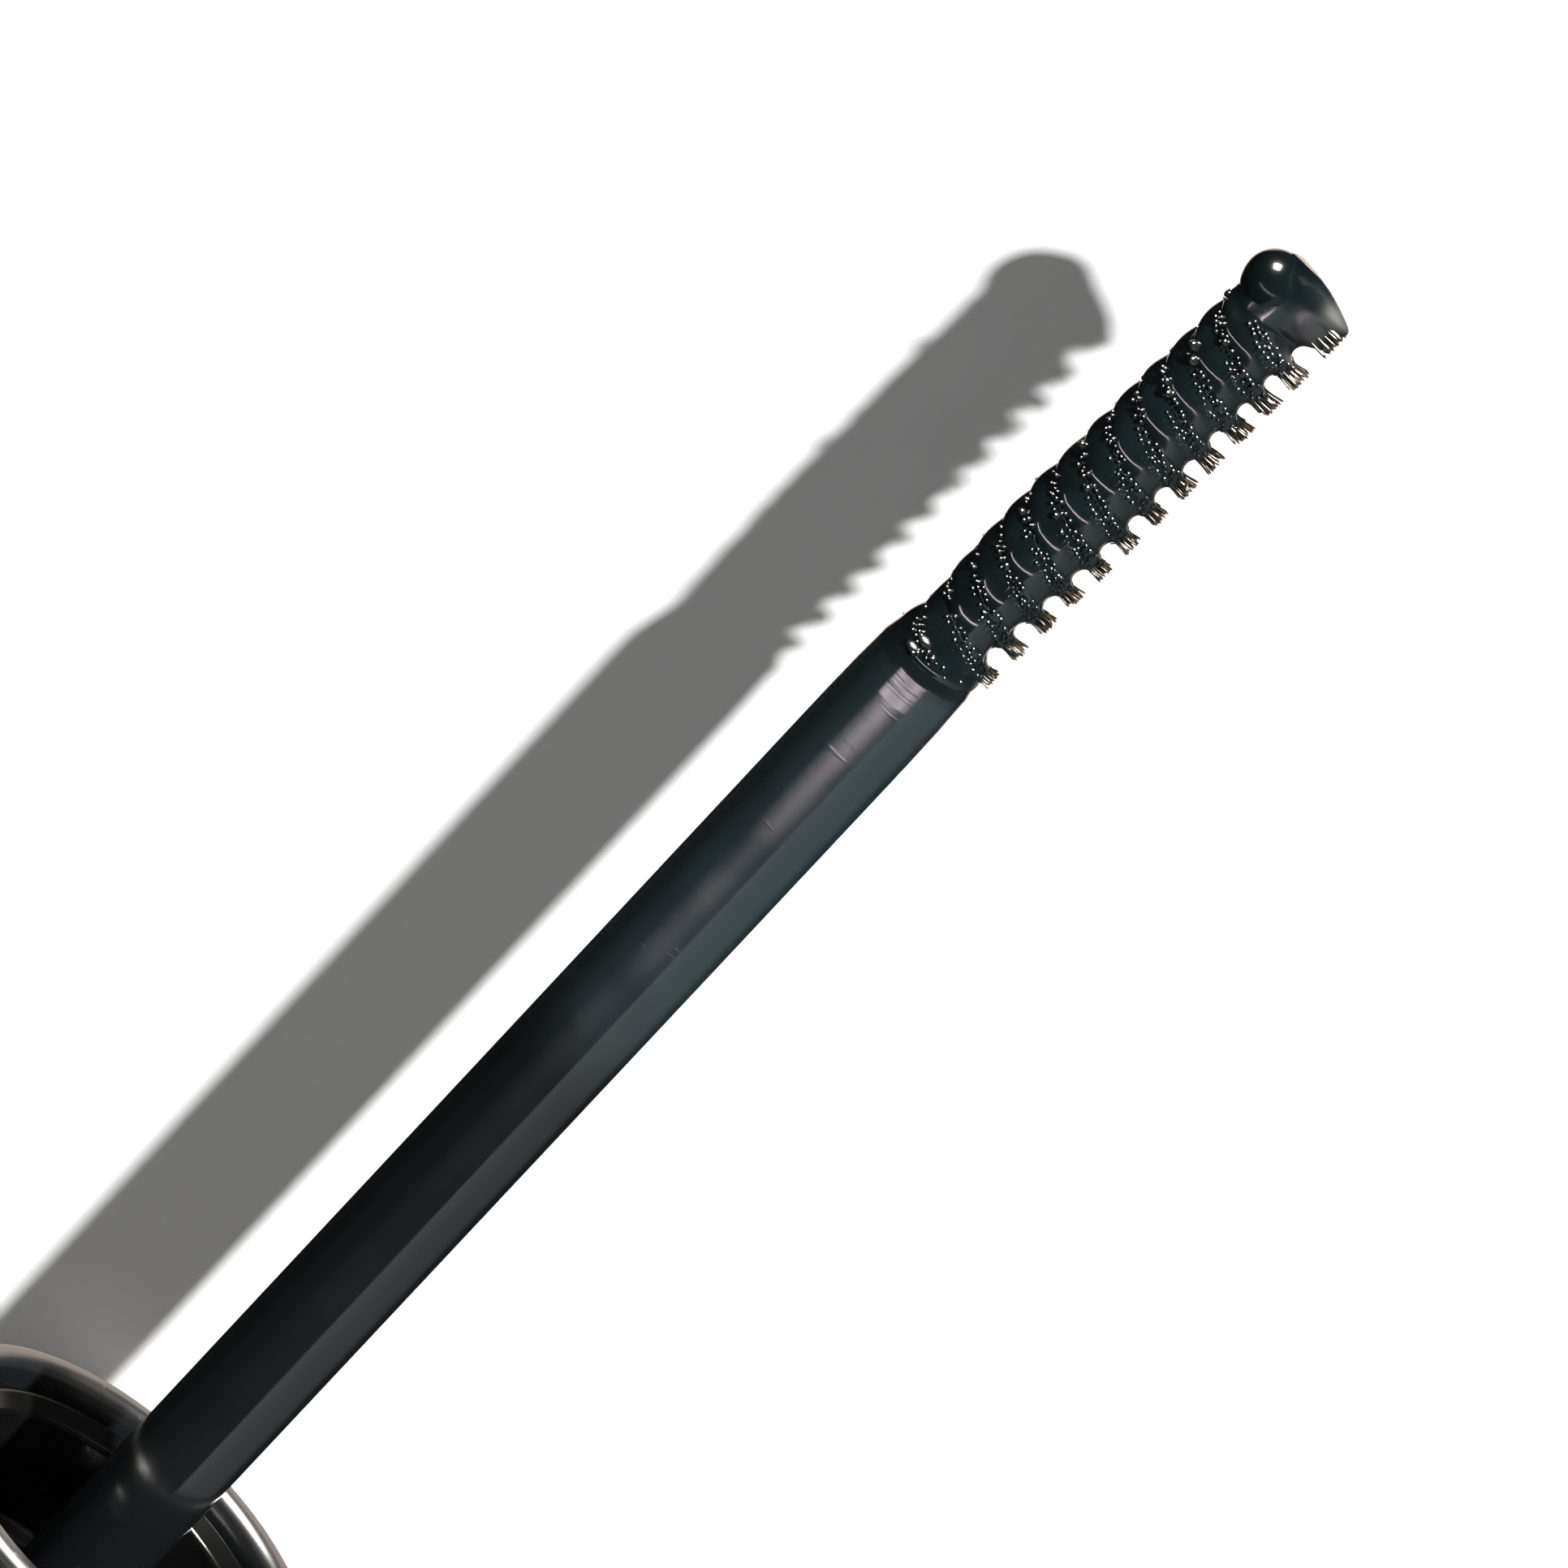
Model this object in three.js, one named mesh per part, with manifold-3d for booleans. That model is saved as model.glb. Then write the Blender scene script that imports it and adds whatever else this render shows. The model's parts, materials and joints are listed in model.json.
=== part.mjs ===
// A mascara with its brush drawn out: the tube of product on the right, the cap that carries the
// stem and the brush on the left, both on one axis along X and lying on the plane z = 0.
import * as THREE from 'three';
import { mergeVertices } from 'three/addons/utils/BufferGeometryUtils.js';
import Module from 'manifold-3d';

const wasm = await Module();
wasm.setup();

// ---- Driving dimensions, millimetres ------------------------------------------------------------
const OUTER_R = 9.5; // cap and tube share one outline
const FIT = 0.3; // gap between pieces that are pushed into or stand on each other
const DRAWN_GAP = 26; // air between the brush tip and the wiper while the wand is out

// cap
const CAP_LENGTH = 46;
const SHELL_WALL = 1.2;
const SHELL_END_WALL = 1.4;
const LIP_ROUND = 0.5;
const DISC_INSET = 1.9; // the end disc's edge, in from the outline
const DISC_THICKNESS = 0.8;
const INNER_CAP_WALL = 0.8;
const INNER_CAP_END_WALL = 1.5;
const INNER_CAP_RECESS = 0.9; // from the cap's mouth in to the inner cap's flange
const INNER_CAP_BEVEL = 0.6; // length of the slope from the flange down to the bore
const FLANGE_LENGTH = 1.6;
const FLANGE_STEP = 0.3;
const BOSS_LENGTH = 4.5;
const BOSS_WALL = 1.6;
const WASHER_THICKNESS = 0.9;
const WEIGHT_LENGTH = 9;
const WEIGHT_BORE_R = 3.2;

// stem
const STEM_R = 2.125;
const STEM_REACH = 50.2; // from the cap's mouth to the stem's end face
const STEM_TAPER_LENGTH = 1.0;
const STEM_TAPER_DROP = 0.2;
const STEM_HEAD_R = 3.4;
const STEM_HEAD_LENGTH = 1.2;
const STEM_STUB_LENGTH = 1.0;
const SHANK_R = 0.8;
const SHANK_LENGTH = 7;

// brush: three helical rows of tines on a core, long on the combing side (-Y), short on the back
const STATIONS = 12; // teeth along the combing side
const STATION_PITCH = 1.585;
const FIRST_STATION = 0.48; // from the stem's end face
const ROW_STARTS = 3; // rows that wind round the core side by side
const TINES_PER_TURN = 12;
const CORE_ROOT_R = 1.25;
const CORE_END_R = 0.95;
const TOOTH_REACH = [2.4, 3.2]; // from the axis, first and last tooth
const BACK_REACH = [1.76, 1.42];
const TINE_ROOT_R = 0.3;
const TINE_TIP_R = 0.13;
const FIN_GAP = 2.285; // from the last tooth to the middle of the end fin
const FIN_THICKNESS = 1.3;
const BALL_R = 1.27;
const BALL_RISE = 0.28; // the ball sits a little to the back of the axis

// tube
const SLEEVE_WALL = 0.9;
const COLLAR_FLANGE = 1.2;
const SPIGOT_LENGTH = 4;
const SPIGOT_WALL = 0.4;
const NECK_HEIGHT = 12.6;
const NECK_WALL = 0.9;
const BOTTLE_WALL = 0.8;
const BOTTLE_END_WALL = 1.0;
const BASE_THICKNESS = 1.8;
const LABEL_R = 6.3;
const LABEL_THICKNESS = 0.2;

// screw thread, shared by the neck and the inner cap
const THREAD_DEPTH = 0.7;
const THREAD_PITCH = 2.4;
const THREAD_TURNS = 1.25;
const THREAD_FROM_RIM = 2.2;
const THREAD_CLEARANCE = 0.3;
const THREAD_CREST_HALF = 0.3; // half the ridge's width at its crest
const THREAD_ROOT_HALF = 0.75; // and where it leaves the wall
const THREAD_SUNK = 0.3; // how much of the ridge's height is buried in the wall
const THREAD_FADE = 6; // each end rises over this part of the whole thread, as 1/6

// wiper and product
const WIPER_WALL = 0.5;
const WIPER_FLANGE = 0.6;
const WIPER_SLEEVE_LENGTH = 8;
const WIPER_CONE_LENGTH = 4;
const ORIFICE_CLEARANCE = 0.08;
const FILL_BELOW_NECK = 0.6;
const FILL_FLOOR = 2;
const CHANNEL_CLEARANCE = 0.5;
const TIP_CLEARANCE = 1.0;

// facets
const BODY_SIDES = 32; // the round bodies rest on a facet, so that they lie still
const STEM_SIDES = 24;
const CORE_SIDES = 16;

// ---- Radii, from the outline inwards ------------------------------------------------------------
const shellBoreR = OUTER_R - SHELL_WALL;
const flangeR = shellBoreR - FIT;
const innerCapR = flangeR - FLANGE_STEP;
const capBoreR = innerCapR - INNER_CAP_WALL;
const neckR = capBoreR - THREAD_DEPTH - THREAD_CLEARANCE;
const neckBoreR = neckR - NECK_WALL;
const wiperR = neckBoreR - FIT;
const orificeR = STEM_R + ORIFICE_CLEARANCE;
const stemHoleR = STEM_R + FIT;
const sleeveBoreR = OUTER_R - SLEEVE_WALL;
const spigotR = sleeveBoreR - FIT;
const spigotBoreR = spigotR - SPIGOT_WALL;
const bottleR = spigotBoreR - FIT;
const bottleBoreR = bottleR - BOTTLE_WALL;
const fillR = bottleBoreR - FIT;
const channelR = Math.max(...TOOTH_REACH) + CHANNEL_CLEARANCE;

// ---- Places along the wand, from the cap's mouth (x = 0) towards the brush ----------------------
const firstTooth = STEM_REACH + FIRST_STATION;
const lastTooth = firstTooth + (STATIONS - 1) * STATION_PITCH;
const finMiddle = lastTooth + FIN_GAP;
const wandReach = finMiddle + BALL_R;
const wiperTop = NECK_HEIGHT + FIT + WIPER_FLANGE; // above the collar
const washerFace = -wiperTop;
const washerBack = washerFace - WASHER_THICKNESS;
const innerCapFloor = washerBack - FIT;
const innerCapBack = innerCapFloor - INNER_CAP_END_WALL;
const bossBack = innerCapBack - BOSS_LENGTH;
const stemHeadFront = bossBack - FIT;
const stemHeadBack = stemHeadFront - STEM_HEAD_LENGTH;
const discSeat = -CAP_LENGTH + DISC_THICKNESS + FIT;
const shellFloor = discSeat + SHELL_END_WALL;

// ---- Places along the tube, from the collar's face (x = 0) towards the base ---------------------
const closedReach = wandReach - FIT; // a closed cap stops one fit short of the collar
const channelEnd = closedReach + TIP_CLEARANCE;
const fillEnd = channelEnd + FILL_FLOOR;
const bottleEnd = fillEnd + FIT + BOTTLE_END_WALL;
const plugFloor = bottleEnd + FIT;
const tubeLength = plugFloor + BASE_THICKNESS;
const underCollar = COLLAR_FLANGE + FIT; // sleeve and bottle both start here
const threadStart = -NECK_HEIGHT + THREAD_FROM_RIM;

const collarAtRest = wandReach + DRAWN_GAP + wiperTop;

// ---- Materials ----------------------------------------------------------------------------------
const look = (color, roughness, metalness = 0) => () =>
  new THREE.MeshStandardMaterial({ color, roughness, metalness });
const glossBlack = look(0x0c0e10, 0.15);
const satinBlack = look(0x101214, 0.4);
const moulding = look(0x141617, 0.5);
const combPlastic = look(0x15120f, 0.35);
const wetProduct = look(0x0a0f10, 0.1);
const softWhite = look(0xd8d8d2, 0.7);
const softGrey = look(0x8d9092, 0.6);
const steel = look(0xb8babc, 0.35, 1);
const paper = look(0xe4e2dc, 0.8);

// ---- Geometry helpers ---------------------------------------------------------------------------
// Position and index only, vertices merged, no collapsed faces, and faces turned outwards.
function closedMesh(geometry) {
  const bare = geometry.clone();
  bare.deleteAttribute('normal');
  bare.deleteAttribute('uv');
  const merged = mergeVertices(bare, 1e-3);
  const [a, b, c] = [new THREE.Vector3(), new THREE.Vector3(), new THREE.Vector3()];
  const faces = [];
  let volume = 0;
  for (let i = 0; i < merged.index.count; i += 3) {
    const face = [merged.index.getX(i), merged.index.getX(i + 1), merged.index.getX(i + 2)];
    if (new Set(face).size < 3) continue;
    [a, b, c].forEach((point, k) => point.fromBufferAttribute(merged.attributes.position, face[k]));
    volume += a.dot(b.cross(c));
    faces.push(face);
  }
  merged.setIndex(faces.flatMap(([p, q, r]) => (volume < 0 ? [p, r, q] : [p, q, r])));
  return merged;
}

// A manifold-3d solid from a closed geometry, for joins and cuts.
function solidFrom(geometry) {
  const merged = closedMesh(geometry);
  return new wasm.Manifold(new wasm.Mesh({
    numProp: 3,
    vertProperties: merged.attributes.position.array,
    triVerts: new Uint32Array(merged.index.array),
  }));
}

function geometryFrom(solid) {
  const mesh = solid.getMesh();
  const geometry = new THREE.BufferGeometry();
  geometry.setAttribute('position', new THREE.BufferAttribute(mesh.vertProperties, 3));
  geometry.setIndex(new THREE.BufferAttribute(mesh.triVerts, 1));
  geometry.computeVertexNormals();
  return geometry;
}

// Radii are given across the flats, so the corners lie further out by this factor.
const cornerFactor = (sides) => 1 / Math.cos(Math.PI / sides);

// A body turned about X from a profile of [x, radius] points, with one facet square to -Z.
function turned(profile, sides = BODY_SIDES) {
  const factor = cornerFactor(sides);
  const points = profile.map(([x, r]) => new THREE.Vector2(r * factor, x));
  const body = new THREE.LatheGeometry(points, sides, Math.PI / sides);
  return closedMesh(body.rotateZ(-Math.PI / 2));
}

// A hollow body, whose profile runs round its section and closes on itself.
const turnedRing = (profile, sides) => turned([...profile, profile[0]], sides);

// A right-hand screw thread: a trapezoid that climbs along X as it winds, faded out at both ends.
function thread(rootR, crestR, startX) {
  const steps = Math.round(THREAD_TURNS * BODY_SIDES);
  const factor = cornerFactor(BODY_SIDES);
  const section = new THREE.Shape([
    new THREE.Vector2(-THREAD_SUNK, -THREAD_ROOT_HALF),
    new THREE.Vector2(-THREAD_SUNK, THREAD_ROOT_HALF),
    new THREE.Vector2(1, THREAD_CREST_HALF),
    new THREE.Vector2(1, -THREAD_CREST_HALF),
  ]);
  const ridge = new THREE.ExtrudeGeometry(section, { depth: 1, steps, bevelEnabled: false });
  const position = ridge.attributes.position;
  for (let i = 0; i < position.count; i++) {
    const along = position.getZ(i);
    const angle = Math.PI / BODY_SIDES + (along * steps * 2 * Math.PI) / BODY_SIDES;
    const fade = Math.min(1, THREAD_FADE * along - 0.1, THREAD_FADE * (1 - along) - 0.1);
    const rise = position.getX(i) > 0 ? position.getX(i) * fade : position.getX(i);
    const radius = (rootR + rise * (crestR - rootR)) * factor;
    const x = startX + position.getY(i) + THREAD_PITCH * THREAD_TURNS * along;
    position.setXYZ(i, x, radius * Math.cos(angle), radius * Math.sin(angle));
  }
  return solidFrom(ridge);
}

// ---- Cap pieces, in the wand's frame ------------------------------------------------------------
function capShell() {
  return turned([
    [discSeat, 0],
    [discSeat, OUTER_R - DISC_INSET + FIT],
    [-CAP_LENGTH, OUTER_R - DISC_INSET + FIT],
    [-CAP_LENGTH, OUTER_R - LIP_ROUND],
    [-CAP_LENGTH + LIP_ROUND, OUTER_R],
    [-LIP_ROUND, OUTER_R],
    [-LIP_ROUND / 4, OUTER_R - LIP_ROUND / 3],
    [0, OUTER_R - SHELL_WALL / 2],
    [-LIP_ROUND / 3, shellBoreR],
    [shellFloor, shellBoreR],
    [shellFloor, 0],
  ]);
}

function capTopDisc() {
  const discR = OUTER_R - DISC_INSET;
  return turned([
    [-CAP_LENGTH, 0],
    [-CAP_LENGTH, discR],
    [-CAP_LENGTH + DISC_THICKNESS, discR],
    [-CAP_LENGTH + DISC_THICKNESS, 0],
  ]);
}

function capWeight() {
  const back = shellFloor + FIT;
  return turnedRing([
    [back, WEIGHT_BORE_R],
    [back, flangeR],
    [back + WEIGHT_LENGTH, flangeR],
    [back + WEIGHT_LENGTH, WEIGHT_BORE_R],
  ]);
}

function innerCap() {
  const flangeBack = -INNER_CAP_RECESS - FLANGE_LENGTH;
  const body = turnedRing([
    [-INNER_CAP_RECESS, flangeR],
    [-INNER_CAP_RECESS - INNER_CAP_BEVEL, capBoreR],
    [innerCapFloor, capBoreR],
    [innerCapFloor, stemHoleR],
    [bossBack, stemHoleR],
    [bossBack, stemHoleR + BOSS_WALL],
    [innerCapBack, stemHoleR + BOSS_WALL],
    [innerCapBack, innerCapR],
    [flangeBack, innerCapR],
    [flangeBack, flangeR],
  ]);
  const closedThreadStart = threadStart + FIT + THREAD_PITCH / 2;
  return geometryFrom(solidFrom(body).add(thread(capBoreR, capBoreR - THREAD_DEPTH, closedThreadStart)));
}

function sealingWasher() {
  return turnedRing([
    [washerBack, stemHoleR],
    [washerBack, capBoreR - THREAD_CLEARANCE],
    [washerFace, capBoreR - THREAD_CLEARANCE],
    [washerFace, stemHoleR],
  ]);
}

function stem() {
  const socketR = SHANK_R + FIT;
  return turned([
    [stemHeadBack - STEM_STUB_LENGTH, 0],
    [stemHeadBack - STEM_STUB_LENGTH, STEM_R],
    [stemHeadBack, STEM_R],
    [stemHeadBack, STEM_HEAD_R],
    [stemHeadFront, STEM_HEAD_R],
    [stemHeadFront, STEM_R],
    [STEM_REACH - STEM_TAPER_LENGTH, STEM_R],
    [STEM_REACH, STEM_R - STEM_TAPER_DROP],
    [STEM_REACH, socketR],
    [STEM_REACH - SHANK_LENGTH - FIT, socketR],
    [STEM_REACH - SHANK_LENGTH - FIT, 0],
  ], STEM_SIDES);
}

// ---- Brush --------------------------------------------------------------------------------------
const mix = ([from, to], share) => from + (to - from) * share;

// How far a tine's tip is from the axis, at x and at an angle from the combing side.
function tineReach(x, angle) {
  const share = THREE.MathUtils.clamp((x - firstTooth) / (lastTooth - firstTooth), 0, 1);
  const combing = ((1 + Math.cos(angle)) / 2) ** 3;
  return mix([mix(BACK_REACH, share), mix(TOOTH_REACH, share)], combing);
}

// A tapered peg that stands straight out of the core.
function tine(x, angle) {
  const root = CORE_END_R / 2;
  const height = tineReach(x, angle) - root;
  const peg = new THREE.CylinderGeometry(TINE_TIP_R, TINE_ROOT_R, height, 4);
  peg.translate(0, root + height / 2, 0); // it now stands along +Y
  peg.rotateX(Math.PI - angle); // combing side is -Y, and angles grow through +Z
  return solidFrom(peg.translate(x, 0, 0));
}

// The end fin: a rounded blade under the ball that ends in the last, broadest tooth.
function endFin() {
  const reach = TOOTH_REACH[1];
  const outline = new THREE.Shape();
  outline.moveTo(-BALL_R, BALL_R / 2);
  outline.lineTo(-1.4, -1.4);
  outline.quadraticCurveTo(-0.6, -1.9, -0.55, -reach);
  outline.lineTo(0.6, -reach);
  outline.quadraticCurveTo(1.5, -1.6, BALL_R, 0);
  outline.lineTo(BALL_R / 2, BALL_R / 2);
  outline.closePath();
  const blade = new THREE.ExtrudeGeometry(outline, {
    depth: FIN_THICKNESS,
    curveSegments: 4,
    bevelEnabled: false,
  });
  return solidFrom(blade.translate(finMiddle, 0, -FIN_THICKNESS / 2));
}

function brushComb() {
  const coreStart = STEM_REACH + FIT;
  const core = turned([
    [STEM_REACH - SHANK_LENGTH, 0],
    [STEM_REACH - SHANK_LENGTH, SHANK_R],
    [coreStart, SHANK_R],
    [coreStart, CORE_ROOT_R],
    [finMiddle, CORE_END_R],
    [finMiddle, 0],
  ], CORE_SIDES);
  const ball = new THREE.SphereGeometry(BALL_R, CORE_SIDES, CORE_SIDES / 2);
  let comb = solidFrom(core)
    .add(solidFrom(ball.translate(finMiddle, BALL_RISE, 0)))
    .add(endFin());
  const lead = ROW_STARTS * STATION_PITCH;
  for (let row = -ROW_STARTS; row < STATIONS + ROW_STARTS; row++) {
    for (let n = 0; n < TINES_PER_TURN; n++) {
      const turn = n / TINES_PER_TURN - 0.5;
      const x = firstTooth + row * STATION_PITCH + turn * lead;
      if (x < firstTooth - 0.01 || x > lastTooth + STATION_PITCH / 2) continue;
      comb = comb.add(tine(x, turn * 2 * Math.PI));
    }
  }
  return geometryFrom(comb);
}

// ---- Tube pieces, in the tube's frame -----------------------------------------------------------
function shoulderCollar() {
  return turnedRing([
    [0, neckR + FIT],
    [0, OUTER_R - LIP_ROUND],
    [LIP_ROUND, OUTER_R],
    [COLLAR_FLANGE, OUTER_R],
    [COLLAR_FLANGE, spigotR],
    [COLLAR_FLANGE + SPIGOT_LENGTH, spigotR],
    [COLLAR_FLANGE + SPIGOT_LENGTH, spigotBoreR],
    [COLLAR_FLANGE, spigotBoreR],
    [COLLAR_FLANGE, neckR + FIT],
  ]);
}

function outerTube() {
  return turnedRing([
    [underCollar, sleeveBoreR],
    [underCollar, OUTER_R],
    [tubeLength - LIP_ROUND, OUTER_R],
    [tubeLength, OUTER_R - LIP_ROUND],
    [tubeLength, sleeveBoreR],
  ]);
}

function innerBottle() {
  const body = turned([
    [bottleEnd - BOTTLE_END_WALL, 0],
    [bottleEnd - BOTTLE_END_WALL, bottleBoreR],
    [underCollar + BOTTLE_WALL, bottleBoreR],
    [underCollar + BOTTLE_WALL, neckBoreR],
    [-NECK_HEIGHT, neckBoreR],
    [-NECK_HEIGHT, neckR],
    [underCollar, neckR],
    [underCollar, bottleR],
    [bottleEnd, bottleR],
    [bottleEnd, 0],
  ]);
  return geometryFrom(solidFrom(body).add(thread(neckR, neckR + THREAD_DEPTH, threadStart)));
}

function wiper() {
  const sleeveTop = -NECK_HEIGHT - FIT;
  const coneTop = sleeveTop + WIPER_SLEEVE_LENGTH;
  const lip = coneTop + WIPER_CONE_LENGTH;
  return turnedRing([
    [sleeveTop - WIPER_FLANGE, wiperR - WIPER_WALL],
    [sleeveTop - WIPER_FLANGE, neckR],
    [sleeveTop, neckR],
    [sleeveTop, wiperR],
    [coneTop, wiperR],
    [lip, orificeR + WIPER_WALL],
    [lip, orificeR],
    [coneTop, wiperR - WIPER_WALL],
  ]);
}

function mascaraFill() {
  const start = underCollar + BOTTLE_WALL + FILL_BELOW_NECK;
  return turned([
    [channelEnd, 0],
    [channelEnd, channelR],
    [start, channelR],
    [start, fillR],
    [fillEnd, fillR],
    [fillEnd, 0],
  ]);
}

function basePlug() {
  const labelSeat = tubeLength - LABEL_THICKNESS - FIT;
  return turned([
    [plugFloor, 0],
    [plugFloor, spigotBoreR],
    [plugFloor - SPIGOT_LENGTH, spigotBoreR],
    [plugFloor - SPIGOT_LENGTH, spigotR],
    [tubeLength, spigotR],
    [tubeLength, LABEL_R + FIT],
    [labelSeat, LABEL_R + FIT],
    [labelSeat, 0],
  ]);
}

function baseLabel() {
  return turned([
    [tubeLength - LABEL_THICKNESS, 0],
    [tubeLength - LABEL_THICKNESS, LABEL_R],
    [tubeLength, LABEL_R],
    [tubeLength, 0],
  ]);
}

// ---- Assembly -----------------------------------------------------------------------------------
function piece(name, geometry, material) {
  const mesh = new THREE.Mesh(geometry, material());
  mesh.name = name;
  return mesh;
}

const wand = new THREE.Group().add(
  piece('cap_shell', capShell(), glossBlack),
  piece('cap_top_disc', capTopDisc(), glossBlack),
  piece('cap_weight', capWeight(), steel),
  piece('inner_cap', innerCap(), moulding),
  piece('sealing_washer', sealingWasher(), softWhite),
  piece('stem', stem(), satinBlack),
  piece('brush_comb', brushComb(), combPlastic),
);

const tube = new THREE.Group().add(
  piece('shoulder_collar', shoulderCollar(), glossBlack),
  piece('outer_tube', outerTube(), glossBlack),
  piece('inner_bottle', innerBottle(), moulding),
  piece('wiper', wiper(), softGrey),
  piece('mascara_fill', mascaraFill(), wetProduct),
  piece('base_plug', basePlug(), satinBlack),
  piece('base_label', baseLabel(), paper),
);
tube.position.x = collarAtRest;

// The origin is under the middle of the whole object, on the surface that it lies on.
const middle = (collarAtRest + tubeLength - CAP_LENGTH) / 2;
const mascara = new THREE.Group().add(wand, tube);
mascara.position.set(-middle, 0, OUTER_R);

export default mascara;
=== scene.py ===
# %% [markdown]
# # A mascara, lying open
#
# This lesson dresses a mascara whose sizes and moving bodies are already fixed. The frame
# brings every part as a plain faceted solid. We give the round parts true curves, coat the
# comb brush with wet product, and light the set the way black, glossy things are lit: with
# a few bright cards in a dark room.

# %% Load the frame
import json
import math

import bmesh
import bpy
import numpy as np
from mathutils import Matrix, Vector

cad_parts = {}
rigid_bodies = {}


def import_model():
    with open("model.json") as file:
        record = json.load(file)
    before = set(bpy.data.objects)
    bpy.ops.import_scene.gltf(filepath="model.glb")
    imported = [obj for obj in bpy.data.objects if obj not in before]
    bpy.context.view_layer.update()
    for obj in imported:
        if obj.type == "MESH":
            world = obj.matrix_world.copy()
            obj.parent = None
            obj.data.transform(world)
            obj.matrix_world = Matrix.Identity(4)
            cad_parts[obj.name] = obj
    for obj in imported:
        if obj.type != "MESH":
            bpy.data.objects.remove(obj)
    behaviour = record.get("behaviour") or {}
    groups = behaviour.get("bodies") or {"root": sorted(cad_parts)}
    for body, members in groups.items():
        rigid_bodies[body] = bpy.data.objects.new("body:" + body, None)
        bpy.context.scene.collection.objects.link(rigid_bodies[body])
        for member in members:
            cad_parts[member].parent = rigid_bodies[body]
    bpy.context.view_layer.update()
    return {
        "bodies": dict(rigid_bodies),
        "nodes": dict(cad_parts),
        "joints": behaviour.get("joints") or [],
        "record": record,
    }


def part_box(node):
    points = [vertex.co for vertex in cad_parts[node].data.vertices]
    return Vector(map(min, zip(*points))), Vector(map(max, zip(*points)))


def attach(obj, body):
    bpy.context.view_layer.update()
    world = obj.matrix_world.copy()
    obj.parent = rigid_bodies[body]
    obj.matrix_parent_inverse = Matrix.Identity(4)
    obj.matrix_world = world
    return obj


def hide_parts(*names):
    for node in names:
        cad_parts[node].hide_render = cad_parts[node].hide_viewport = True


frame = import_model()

# %% [markdown]
# Everything round shares one axis along X. Its height, the cap's mouth and the tube's collar
# come from the frame, and all later sizes are millimetres counted from those places.

# %% Places on the axis
MM = 0.001
shell_low, shell_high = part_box("cap_shell")
AXIS_Z = (shell_low.z + shell_high.z) / 2
OUTER_R = (shell_high.z - shell_low.z) / 2 / MM
MOUTH_X = shell_high.x
COLLAR_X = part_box("shoulder_collar")[0].x
CAP_LENGTH = (shell_high.x - shell_low.x) / MM
STEM_END = (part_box("stem")[1].x - MOUTH_X) / MM
TUBE_LENGTH = (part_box("outer_tube")[1].x - COLLAR_X) / MM
print(f"outline radius {OUTER_R:.2f}, stem end {STEM_END:.2f}, tube {TUBE_LENGTH:.2f} mm")


# %% [markdown]
# ## Turned shapes
#
# A cap or a neck is a profile spun round the axis. We could use the Screw modifier, but a
# grid of points worked out with numpy lets a thread or a wet ripple be added to the radius
# before the mesh is made. Corners get a small fillet, because a perfectly sharp plastic
# edge never catches the light.


# %% Grids of points become skins
def into_scene(name, data):
    thing = bpy.data.objects.new(name, data)
    bpy.context.scene.collection.objects.link(thing)
    return thing


def full_turn(count):
    """Angles all the way round, without the last, which would repeat the first."""
    return np.linspace(0, 2 * math.pi, count, endpoint=False)


def skin(name, grids, close_rows=False):
    """One mesh from an array [piece, row, column, xyz] in metres. Columns wrap round; rows
    wrap too when close_rows is set. Rows that shrink to a point are welded into a pole."""
    grids = np.asarray(grids, float)
    grids = grids[None] if grids.ndim == 3 else grids
    pieces, rows, columns, _ = grids.shape
    index = np.arange(pieces * rows * columns).reshape(pieces, rows, columns)
    below = index if close_rows else index[:, :-1]
    above = np.roll(index, -1, 1) if close_rows else index[:, 1:]
    faces = np.stack([below, np.roll(below, -1, 2), np.roll(above, -1, 2), above], -1)
    mesh = bpy.data.meshes.new(name)
    mesh.from_pydata(grids.reshape(-1, 3), [], faces.reshape(-1, 4))
    bm = bmesh.new()
    bm.from_mesh(mesh)
    bmesh.ops.remove_doubles(bm, verts=bm.verts, dist=1e-8)
    if bm.calc_volume(signed=True) < 0:
        bmesh.ops.reverse_faces(bm, faces=bm.faces)
    bm.to_mesh(mesh)
    bm.free()
    mesh.polygons.foreach_set("use_smooth", np.ones(len(mesh.polygons), bool))
    print(f"{name}: {len(mesh.polygons)} faces")
    return into_scene(name, mesh)


# %% Fillets on a profile
def rounded(corners, closed, steps=6):
    """Each corner is (x, radius, fillet). A fillet is an arc that touches both sides; a
    point just before and after it keeps the shading of the flats flat."""
    points = []
    count = len(corners)
    for i, (x, r, fillet) in enumerate(corners):
        here = np.array([x, r])
        if not closed and i in (0, count - 1):
            points.append(here)
            continue
        back = np.array(corners[i - 1][:2]) - here
        ahead = np.array(corners[(i + 1) % count][:2]) - here
        reach = [np.linalg.norm(back), np.linalg.norm(ahead)]
        back, ahead = back / reach[0], ahead / reach[1]
        half = math.acos(np.clip(back @ ahead, -1, 1)) / 2
        tangent = min(fillet / math.tan(half), 0.4 * reach[0], 0.4 * reach[1])
        radius = tangent * math.tan(half)
        centre = here + (back + ahead) / np.linalg.norm(back + ahead) * radius / math.sin(half)
        start, end = here + back * tangent, here + ahead * tangent
        sweep = np.linspace(0, 1, steps)[:, None]
        arc = (1 - sweep) * (start - centre) + sweep * (end - centre)
        arc *= radius / np.linalg.norm(arc, axis=1, keepdims=True)
        points += [start + back * 0.1 * tangent, *(centre + arc), end + ahead * 0.1 * tangent]
    return np.array(points)


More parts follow.
